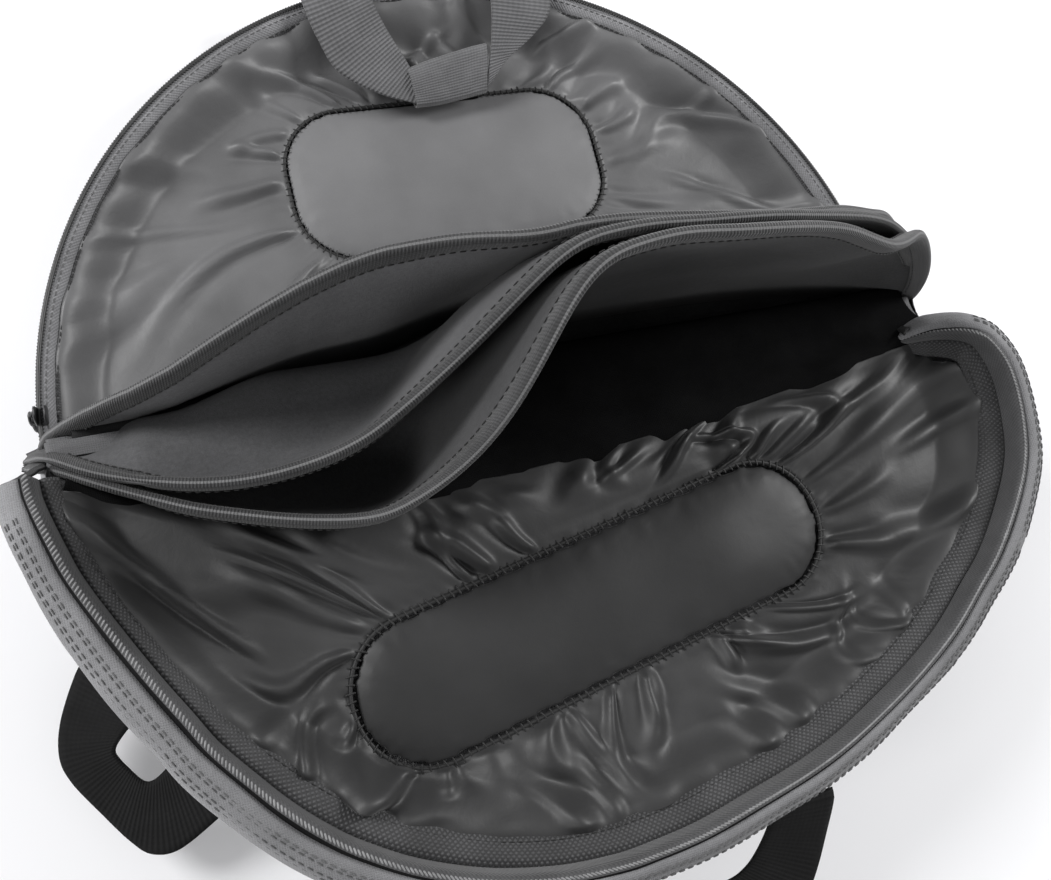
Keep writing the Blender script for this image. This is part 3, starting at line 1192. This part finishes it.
class Divider:
    """The curved middle surface of one divider: u across, from -1 to 1, and w up from its lower edge."""

    def __init__(self, name, count=240):
        hinge_y, hinge_z, _, left, right, draw, table = DIVIDERS[name]
        u = np.sin(np.linspace(-math.pi / 2, math.pi / 2, count))
        # the share of the way that each end of the lower edge is drawn to the divider's sewn tip
        ends = np.abs(u) ** 5
        tip = np.where((u < 0)[:, None], np.array(left)[None], np.array(right)[None])
        x = u * DIVIDER_R * (1 - ends) * (1 + (draw - 1) * np.clip(u / 0.5, 0, 1))
        x = x + tip[:, 0] * ends * np.abs(u)
        self.base = np.c_[x, hinge_y * (1 - ends) + tip[:, 1] * ends, hinge_z * (1 - ends) + tip[:, 2] * ends]
        lean = spline(np.array(table, float) * (1, 0.01), 400)
        lean = softened(np.interp(u, lean[:, 0], lean[:, 1] * 100), 6)
        self.name, self.u, self.seed = name, u, 1 + list(DIVIDERS).index(name)
        circle = np.sqrt(np.maximum(DIVIDER_R ** 2 - (u * DIVIDER_R) ** 2, 0))
        self.height = np.maximum(circle - hinge_y, LEAST_HEIGHT)
        self.shape(np.radians(lean), ends)

    def shape(self, lean, ends, steps=60):
        """The section at each share of the width, as evenly spaced points from the lower edge up."""
        u, left = self.u, smooth(-0.08, -0.42, self.u)
        bow = (SLUMP if self.name == "rear" else LYING[self.name])[0]
        bow = bow * smooth(-0.05, -0.40, u) * (1 - ends)
        r = ((np.arange(steps) + 0.5) / steps)[None, :]
        bend = BEND[self.name]
        angle = math.pi / 2 + (lean - math.pi / 2)[:, None] * (1 - bend / 2 + bend * r)
        if self.name == "rear":
            _, top, low = SLUMP
            low = np.radians(np.interp(u, *np.array(low, float).T))[:, None]
            slumped = low + (math.radians(top) - low) * smooth(0.40, 0.85, r)
            angle = angle + (slumped - angle) * left[:, None]
        step = (self.height / steps)[:, None]
        zero = np.zeros((len(u), 1))
        self.base[:, 1] -= bow
        y = self.base[:, 1:2] + np.hstack([zero, np.cumsum(np.cos(angle) * step, 1)])
        z = self.base[:, 2:3] + np.hstack([zero, np.cumsum(np.sin(angle) * step, 1)])
        if self.name in LYING:
            edge = np.array(LYING[self.name][3])
            edge = np.c_[softened(np.interp(u, edge[:, 0], edge[:, 1]), 8),
                         softened(np.interp(u, edge[:, 0], edge[:, 2]), 8)]
            for k in np.flatnonzero(left > 0):
                section = self.lying(k, edge[k], steps)
                y[k] += (section[:, 0] - y[k]) * left[k]
                z[k] += (section[:, 1] - z[k]) * left[k]
        length = np.hypot(np.diff(y, axis=1), np.diff(z, axis=1))
        self.along = np.hstack([zero, np.cumsum(length, 1)])
        self.section_y, self.section_z = y, z
        self.height = np.maximum(self.along[:, -1], LEAST_HEIGHT)

    def lying(self, k, tip, steps):
        """The section that lies over the fold at one share of the width, (y, z) from the foot to the edge."""
        _, over, level, _ = LYING[self.name]
        u, foot = self.u[k], self.base[k, 1:]
        level = min(level, tip[1] - 0.014)
        turn = np.array([tip[0] + 0.0024, max(level + 0.006, tip[1] - 0.020)])
        forward = (0.0145 * smooth(-0.55, -0.78, u), 0)
        path = np.vstack([foot, np.array(over) - forward, (tip[0] + 0.018, level), turn, tip])
        # towards the left end the section straightens, first below its upturned edge and then as a whole
        chord = foot + (turn - foot) * np.linspace(0, 1, len(path) - 1)[:, None]
        path[:-1] = chord + (path[:-1] - chord) * smooth(-0.93, -0.80, u)
        direct = foot + (tip - foot) * np.linspace(0, 1, len(path))[:, None]
        path = direct + (path - direct) * smooth(-1.0, -0.95, u)
        return even(spline(path, 120), steps + 1)

    def surface(self, w):
        """Points at distances w (count x k) up from the lower edge; past the height the line is straight."""
        out = np.zeros(w.shape + (3,))
        out[:, :, 0] = self.base[:, None, 0]
        for k in range(len(self.u)):
            y, z, along = self.section_y[k], self.section_z[k], self.along[k]
            over = np.maximum(w[k] - along[-1], 0) / max(along[-1] - along[-4], 1e-6)
            out[k, :, 1] = np.interp(w[k], along, y) + over * (y[-1] - y[-4])
            out[k, :, 2] = np.interp(w[k], along, z) + over * (z[-1] - z[-4])
        ripple = field(columns(self.u * 3.0, w.shape[1]), w * 9, self.seed)
        out[:, :, 1] += 0.0022 * ripple * smooth(0, 0.06, w) * smooth(0, 0.05, self.height)[:, None]
        return out


# section of the tape folded over a divider's edge: distance down from the edge, and out from its middle
EDGE_TAPE = [(0.0110, 0.0024), (0.0108, 0.0031), (0.0060, 0.0034), (0.0015, 0.0032), (-0.0012, 0.0022),
             (-0.0020, 0.0), (-0.0012, -0.0022), (0.0015, -0.0032), (0.0060, -0.0034), (0.0108, -0.0031),
             (0.0110, -0.0024)]


def standing_part(d, body):
    """The divider's upper part: its felt, the ribbed tape over its edge, and stitches on each side."""
    name = d.name
    points = d.surface(d.height[:, None] * np.linspace(0, 1, 64)[None, :])
    panel = grid(f"divider_{name}_felt", points)
    thicken(panel, 0.0038, 0)
    # the tape is as wide as it looks across the edge, where that runs steeply
    rise = unit(points[:, -1] - points[:, -2])
    slant = np.linalg.norm(np.cross(tangents(points[:, -1]), rise), axis=1)
    width = np.minimum(1 / np.maximum(slant, 0.3), 2.6)
    profile = even(EDGE_TAPE, 31)
    depth = np.minimum(profile[None, :, 0] * width[:, None], 0.92 * d.height[:, None])
    normal = normals_of(points)[:, -6]
    thin = smooth(0.0, 0.02, d.height)[:, None] * 0.55 + 0.45
    shell = d.surface(d.height[:, None] - depth) + normal[:, None] * (profile[None, :, 1] * thin)[:, :, None]
    strip = grid(f"divider_{name}_edge_tape", shell)
    place(panel, "felt_" + name, "divider_felt", body, [f"divider_{name}_panel"])
    middle = max(loop.uv[1] for loop in strip.data.uv_layers[0].data) / 2
    MATERIALS["edge_" + name] = ribbed(f"binding_divider_{name}", 0.026, 0.045, 0.0018,
                                       edge=(middle, 0.0007, 0.13), contrast=0.6)
    place(strip, "edge_" + name, "binding", body, [f"divider_{name}_binding"])
    made = [panel, strip]
    for side, sign in (("front", 1), ("rear", -1)):
        inner = d.surface(d.height[:, None] - np.minimum(0.0092 * width, 0.85 * d.height)[:, None])[:, 0]
        keep = d.height > 0.03
        line = inner[keep] + normal[keep] * (0.0037 * sign)
        made.append(running_stitches(f"divider_{name}_stitches_{side}", line, 0.0050, 0.0032, 0.0004,
                                     "thread_dark", "binding", body, normal[keep] * sign))
    return made


def sewn_part(d, hinge_z):
    """The part that lies flat in the pocket, and the soft bend where it turns up."""
    name, n, m = d.name, 200, 40
    base = even(d.base[np.abs(d.u) < 0.955], n)
    t = np.linspace(0, 1, m)
    top = base[:, 1] - 0.0105
    bottom = -np.sqrt(np.maximum(0.2770 ** 2 - base[:, 0] ** 2, 0.0001))
    y = np.minimum(bottom, top - 0.002)[:, None] * (1 - t)[None, :] + top[:, None] * t[None, :]
    x = columns(base[:, 0], m)
    z = hinge_z + (base[:, 2] - hinge_z)[:, None] * smooth(0.75, 1.0, t)[None, :]
    z = z + 0.0010 * field(x * 8, y * 8, 50 + d.seed) * (1 - smooth(0.85, 1.0, t))[None, :]
    flat = grid(f"divider_{name}_sewn_felt", np.dstack([x, y, z]))
    thicken(flat, 0.0034, 0)
    place(flat, "felt_" + name, "divider_felt", "base", [f"divider_{name}_sewn_part"])
    bend = spline([(-0.0108, 0.0), (-0.004, 0.0004), (-0.0004, 0.004), (0.0, 0.0105)], 14)
    turn = grid(f"divider_{name}_bend", np.dstack([columns(base[:, 0], 14), base[:, None, 1:] + bend[None]]))
    thicken(turn, 0.0030, 0)
    dress(turn, "felt_" + name)
    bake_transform(turn)


def dividers():
    for name, (hinge_y, hinge_z, lean, *_) in DIVIDERS.items():
        d, body = Divider(name), "divider_" + name
        # as the bag is shut, the bowed divider is pressed flat along the normal of its plate
        for obj in standing_part(d, body):
            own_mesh(obj)
        sewn_part(d, hinge_z)


# ---- handles ---------------------------------------------------------------------------------
def back_handle():
    """The grey loop on the rim, which lies over it into the tray."""
    legs = {
        "left": ([(-0.0915, 0.2965, 0.036), (-0.0905, 0.2945, 0.046), (-0.0880, 0.2885, 0.0545),
                  (-0.0850, 0.2720, 0.0545), (-0.0795, 0.2545, 0.0465), (-0.0680, 0.2320, 0.0375),
                  (-0.0420, 0.2165, 0.0315), (-0.0165, 0.2070, 0.0300)],
                 [(-0.0445, 0.2985, 0.036), (-0.0440, 0.2965, 0.046), (-0.0420, 0.2905, 0.0550),
                  (-0.0385, 0.2730, 0.0555), (-0.0310, 0.2540, 0.0490), (-0.0220, 0.2375, 0.0420),
                  (-0.0170, 0.2270, 0.0380), (-0.0130, 0.2150, 0.0340)]),
        "right": ([(0.0455, 0.2985, 0.036), (0.0455, 0.2965, 0.046), (0.0460, 0.2905, 0.0550),
                   (0.0465, 0.2680, 0.0555), (0.0435, 0.2430, 0.0450), (0.0385, 0.2240, 0.0360),
                   (0.0340, 0.2120, 0.0315)],
                  [(0.0915, 0.2965, 0.036), (0.0905, 0.2945, 0.046), (0.0900, 0.2880, 0.0550),
                   (0.0890, 0.2580, 0.0545), (0.0740, 0.2420, 0.0480), (0.0530, 0.2290, 0.0405),
                   (0.0400, 0.2160, 0.0340)]),
    }
    for side, edges in legs.items():
        leg = grid(f"back_handle_leg_{side}",
                   between(*(spline(edge, 90) for edge in edges), np.linspace(0, 1, 14)))
        thicken(leg, 0.0022, 0)
        place(leg, "webbing", "grey_webbing", "back_handle", ["back_handle_webbing"])
    handle_grip()
    for side, x in (("left", -1), ("right", 1)):
        row = spline([(x * 0.046, 0.2975, 0.0420), (x * 0.088, 0.2958, 0.0420)], 20)
        running_stitches(f"back_handle_stitches_{side}", row + np.array([0, 0.0016, 0]), 0.0042, 0.003,
                         0.0004, "thread_grey", "grey_webbing", "back_handle")
        angle = 90 - 13.2 * x
        tab = revolve(f"back_handle_tab_{side}",
                      [(0.2905, 0.009), (0.2928, 0.014), (0.2940, 0.024), (0.2938, 0.034), (0.2938, 0.040)],
                      angle - 4.5, angle + 4.5, 24)
        thicken(tab, 0.0020, 1)
        place(tab, "webbing", "grey_webbing", "base", ["back_handle_tabs"] if x < 0 else ())
        line = arc(0.2966, angle - 3.9, angle + 3.9, 30, 0.016)
        radial = np.c_[unit(line[:, :2]), np.zeros(30)]
        running_stitches(f"back_handle_tab_stitches_{side}", line, 0.0042, 0.003, 0.0004, "thread_grey",
                         "grey_webbing", "base", radial)


def handle_grip():
    """The folded sleeve that holds the two legs of the back handle together."""
    n, m = 60, 40
    top = spline([(-0.0205, 0.2290, 0.0375), (0.000, 0.2345, 0.0385), (0.0250, 0.2395, 0.0400),
                  (0.0400, 0.2420, 0.0405)], n)
    low = spline([(-0.0175, 0.2060, 0.0285), (0.000, 0.2070, 0.0280), (0.0190, 0.2095, 0.0285),
                  (0.0350, 0.2120, 0.0295)], n)
    a = np.linspace(0, 2 * np.pi, m, endpoint=True)
    middle, half = (top + low) / 2, (top - low) / 2
    up = unit(np.cross(tangents(middle), half))
    up = up * np.sign(up[:, 2:3])
    thick = 0.0036 * (1 + 0.15 * np.sin(np.linspace(0, 7, n)))
    across, rise = powered(np.cos(a), 0.7), powered(np.sin(a), 0.8)
    points = middle[:, None] + half[:, None] * across[None, :, None]
    points = points + up[:, None] * (thick[:, None] * rise[None, :])[:, :, None]
    dent = 0.0007 * field(points[:, :, 0] * 120, points[:, :, 1] * 120, 71)
    grip = grid("back_handle_grip_sleeve", points + up[:, None] * dent[:, :, None])
    thicken(grip, 0.0012, -1)
    place(grip, "grip", "grey_webbing", "back_handle", ["back_handle_grip"])


def powered(values, power):
    """Each value's size to a power, with its sign kept: below 1 this squares a circle's outline."""
    return np.sign(values) * np.abs(values) ** power


def flat_loop(name, outer, inner, hinge, slope, body, node, sag, turn=0.0):
    """A flat loop of black webbing between two outlines in plan, which slopes down from its hinge (y, z)."""
    plan = between(spline(outer, 110), spline(inner, 110), np.linspace(0, 1, 12))
    out = np.abs(plan[:, :, 1] - hinge[0])
    z = hinge[1] - out * math.tan(math.radians(slope)) - sag * np.sin(np.clip(out / 0.06, 0, 1) * math.pi)
    points = np.dstack([plan, z])
    if turn:
        c, s = math.cos(turn), math.sin(turn)
        points = np.dstack([points[:, :, 0] * c - points[:, :, 1] * s,
                            points[:, :, 0] * s + points[:, :, 1] * c, z])
    obj = grid(name, points)
    thicken(obj, 0.0023, 0)
    place(obj, "black_webbing", "black_webbing", body, [node])


def mirrored(half):
    """An outline in plan, from its left half."""
    return half + [(-x, y) for x, y in reversed(half)]


def black_loops():
    # loop that stands out past the flap's rim
    y0, tip = -0.2995, -0.3555
    outer = mirrored([(-0.108, y0 + 0.004), (-0.1035, y0 - 0.012), (-0.093, tip + 0.020),
                      (-0.080, tip + 0.004), (-0.062, tip), (-0.02, tip)])
    inner = mirrored([(-0.066, y0 + 0.004), (-0.063, y0 - 0.006), (-0.055, tip + 0.038),
                      (-0.046, tip + 0.030), (-0.034, tip + 0.026), (-0.01, tip + 0.0255)])
    flat_loop("flap_handle_loop", outer, inner, (y0, 0.120), 15.0, "flap_handle", "flap_handle_webbing",
              0.004)
    # short loop on the lower wall, drawn along +Y and turned to its place
    y0, tip = 0.306, 0.306 + 0.0555
    outer = [(-0.060, y0 - 0.003), (-0.0600, y0 + 0.014), (-0.0565, tip - 0.015), (-0.047, tip - 0.003),
             (-0.033, tip), (-0.010, tip), (0.014, tip - 0.001), (0.029, tip - 0.006), (0.043, tip - 0.020),
             (0.056, y0 + 0.012), (0.060, y0 - 0.003)]
    inner = [(-0.017, y0 - 0.003), (-0.0180, y0 + 0.006), (-0.0185, tip - 0.035), (-0.0165, tip - 0.029),
             (-0.012, tip - 0.0272), (-0.004, tip - 0.027), (0.004, tip - 0.0272), (0.0095, tip - 0.029),
             (0.0120, tip - 0.036), (0.0138, y0 + 0.006), (0.016, y0 - 0.003)]
    flat_loop("side_loop_band", outer, inner, (y0, 0.045), 12.0, "side_loop", "side_loop_webbing", 0.002,
              math.radians(213.5 - 90))


def plate(name, centre, radial, tangent, thick, width=0.0125, height=0.0150, waist=0.35):
    """One rounded wing of a zip slider, in the wall's tangent plane, narrower by the waist at its top."""
    a = np.linspace(0, 2 * np.pi, 48, endpoint=False)
    x = powered(np.cos(a), 0.55) * width / 2
    z = powered(np.sin(a), 0.55) * height / 2
    x = x * (1 - waist * np.clip(z / height + 0.5, 0, 1))
    rings = []
    for share, out in ((0.02, 0.5), (0.55, 0.5), (0.86, 0.44), (0.97, 0.28), (1.0, 0.0), (0.97, -0.28),
                       (0.86, -0.44), (0.55, -0.5), (0.02, -0.5)):
        flat = tangent * (x * share)[:, None] + UP * (z * share)[:, None]
        rings.append(centre + flat + radial * (thick * out))
    return grid(name, np.stack(rings, 1), loop=True)


def slider(side):
    """One slider with its bridge, and its pull: a ring and a loop of cord."""
    low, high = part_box(f"zip_slider_{side}")
    middle = (np.array(low) + np.array(high)) / 2
    radial = unit(np.array([middle[0], middle[1], 0.0]))
    tangent = np.array([-radial[1], radial[0], 0.0])
    centre = radial * ZIP_RADIUS + UP * 0.050
    wings = []
    for wing, out, thick in (("outer", 0.0029, 0.0017), ("inner", -0.0029, 0.0015)):
        wings.append(plate(f"zip_slider_{side}_{wing}", centre + radial * out, radial, tangent, thick))
    # the bridge's line is given as (out, up), and the ring's and the cord's as (along the zip, up)
    arch = [(0.0034, 0.0055), (0.0052, 0.0045), (0.0060, 0.0), (0.0052, -0.0045), (0.0034, -0.0055)]
    arch = spline([centre + radial * out + UP * z for out, z in arch], 30)
    bridge = sweep_tube(f"zip_slider_{side}_bridge", arch, 0.0009, 10)
    for obj in wings + [bridge]:
        place(obj, "metal", "slider_metal", f"slider_{side}",
              [f"zip_slider_{side}"] if obj is wings[0] else ())
    ring = [(0.0, -0.0015), (0.0028, -0.0050), (0.0030, -0.0120), (0.0, -0.0145), (-0.0030, -0.0120),
            (-0.0028, -0.0050)]
    ring = spline([centre + radial * 0.0066 + tangent * x + UP * z for x, z in ring], 60, True)
    ring = sweep_tube(f"zip_pull_{side}_ring", ring, 0.0009, 10, True)
    place(ring, "metal", "slider_metal", f"pull_{side}", [f"zip_pull_{side}"])
    strand = [(0.0, -0.0135), (0.0018, -0.018), (0.0024, -0.028), (0.0012, -0.0345), (-0.0012, -0.0345),
              (-0.0024, -0.028), (-0.0018, -0.018)]
    strand = spline([centre + radial * 0.0068 + tangent * x + UP * z for x, z in strand], 80, True)
    place(sweep_tube(f"zip_pull_{side}_cord", strand, 0.0011, 10, True), "cord", "pull_cord", f"pull_{side}")


def sewn_tabs():
    """Webbing tabs that hold the two black loops, laid on the walls."""
    for side, x0, x1 in (("left", -0.105, -0.065), ("right", 0.065, 0.105)):
        z = np.linspace(0.1145, 0.1260, 8)
        x = columns(x0 + (x1 - x0) * np.linspace(0, 1, 24), 8)
        y = -np.sqrt(0.3065 ** 2 - x ** 2) + 0.0012 * np.cos((z - 0.12) * 200)[None, :]
        tab = grid(f"flap_handle_tab_{side}", np.dstack([x, y, np.repeat(z[None, :], 24, 0)]))
        thicken(tab, 0.0022, 0)
        place(tab, "black_webbing", "black_webbing", "flap", ["flap_handle_tabs"] if side == "left" else ())
    for k, (lo, hi) in enumerate(((202.9, 210.0), (217.0, 224.1))):
        tab = revolve(f"side_loop_tab_{k + 1}", [(0.2985, 0.0375), (0.3000, 0.0410), (0.3010, 0.0450),
                                                 (0.3005, 0.0490), (0.2990, 0.0525)], lo, hi, 20)
        thicken(tab, 0.0022, 1)
        place(tab, "black_webbing", "black_webbing", "base", ["side_loop_tabs"] if k == 0 else ())


def kept_nodes():
    """CAD nodes whose shape is right, with their own materials."""
    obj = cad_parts["zip_end_stops"]
    obj.data.materials.clear()
    obj.data.materials.append(MATERIALS["metal"])


# ---- stage -----------------------------------------------------------------------------------
def disk_light(name, location, target, size, power):
    light = bpy.data.lights.new(name, "AREA")
    light.shape = "DISK"
    light.size = size
    light.energy = power
    obj = bpy.data.objects.new(name, light)
    obj.location = location
    obj.rotation_mode = "QUATERNION"
    obj.rotation_quaternion = (Vector(target) - Vector(location)).to_track_quat("-Z", "Y")
    bpy.context.scene.collection.objects.link(obj)


def stage():
    bpy.ops.mesh.primitive_plane_add(size=8.0, location=(0, 0, -0.0005))
    floor = bpy.context.object
    floor.name = "floor"
    g = Graph("floor_pale")
    tone = g.ramp(g.noise(3.0), [(0.3, 0.86), (0.7, 0.88)])
    floor.data.materials.append(g.done(tone, 0.9, None, specular=0.1))
    world = bpy.data.worlds.new("Studio")
    bpy.context.scene.world = world
    world.use_nodes = True
    world.node_tree.nodes["Background"].inputs[0].default_value = (1.0, 1.0, 1.0, 1.0)
    world.node_tree.nodes["Background"].inputs[1].default_value = 0.42
    disk_light("key", (-1.5, 1.0, 1.6), (0, 0, 0.05), 0.9, 42)
    disk_light("right", (1.6, 0.3, 1.2), (0.2, -0.1, 0.1), 0.7, 27)
    disk_light("left", (-1.7, -0.8, 0.9), (-0.15, 0.0, 0.15), 0.5, 12)
    bpy.context.scene.view_settings.view_transform = "Standard"


def camera():
    """Looks down into the open bag from above its left front, turned a little."""
    lens = bpy.data.cameras.new("Camera")
    lens.sensor_width = 36.0
    lens.lens = 37.56
    lens.clip_start, lens.clip_end = 0.02, 50.0
    lens.dof.use_dof = False
    obj = bpy.data.objects.new("Camera", lens)
    right, up, back = (0.93912, -0.23328, 0.25225), (0.18104, 0.95997, 0.21376), (-0.29202, -0.15508, 0.94376)
    rows = [[right[k], up[k], back[k], place] for k, place in enumerate((-0.21321, -0.15721, 0.72647))]
    obj.matrix_world = Matrix(rows + [[0, 0, 0, 1]])
    bpy.context.scene.collection.objects.link(obj)
    bpy.context.scene.camera = obj


stage()
camera()
panels()
walls()
back_tray()
pads()
back_rim()
flap_rim()
flap_inside()
fold_lining()
fold_cover()
corner_gussets()
pocket()
dividers()
back_handle()
black_loops()
slider("left")
slider("right")
sewn_tabs()
kept_nodes()
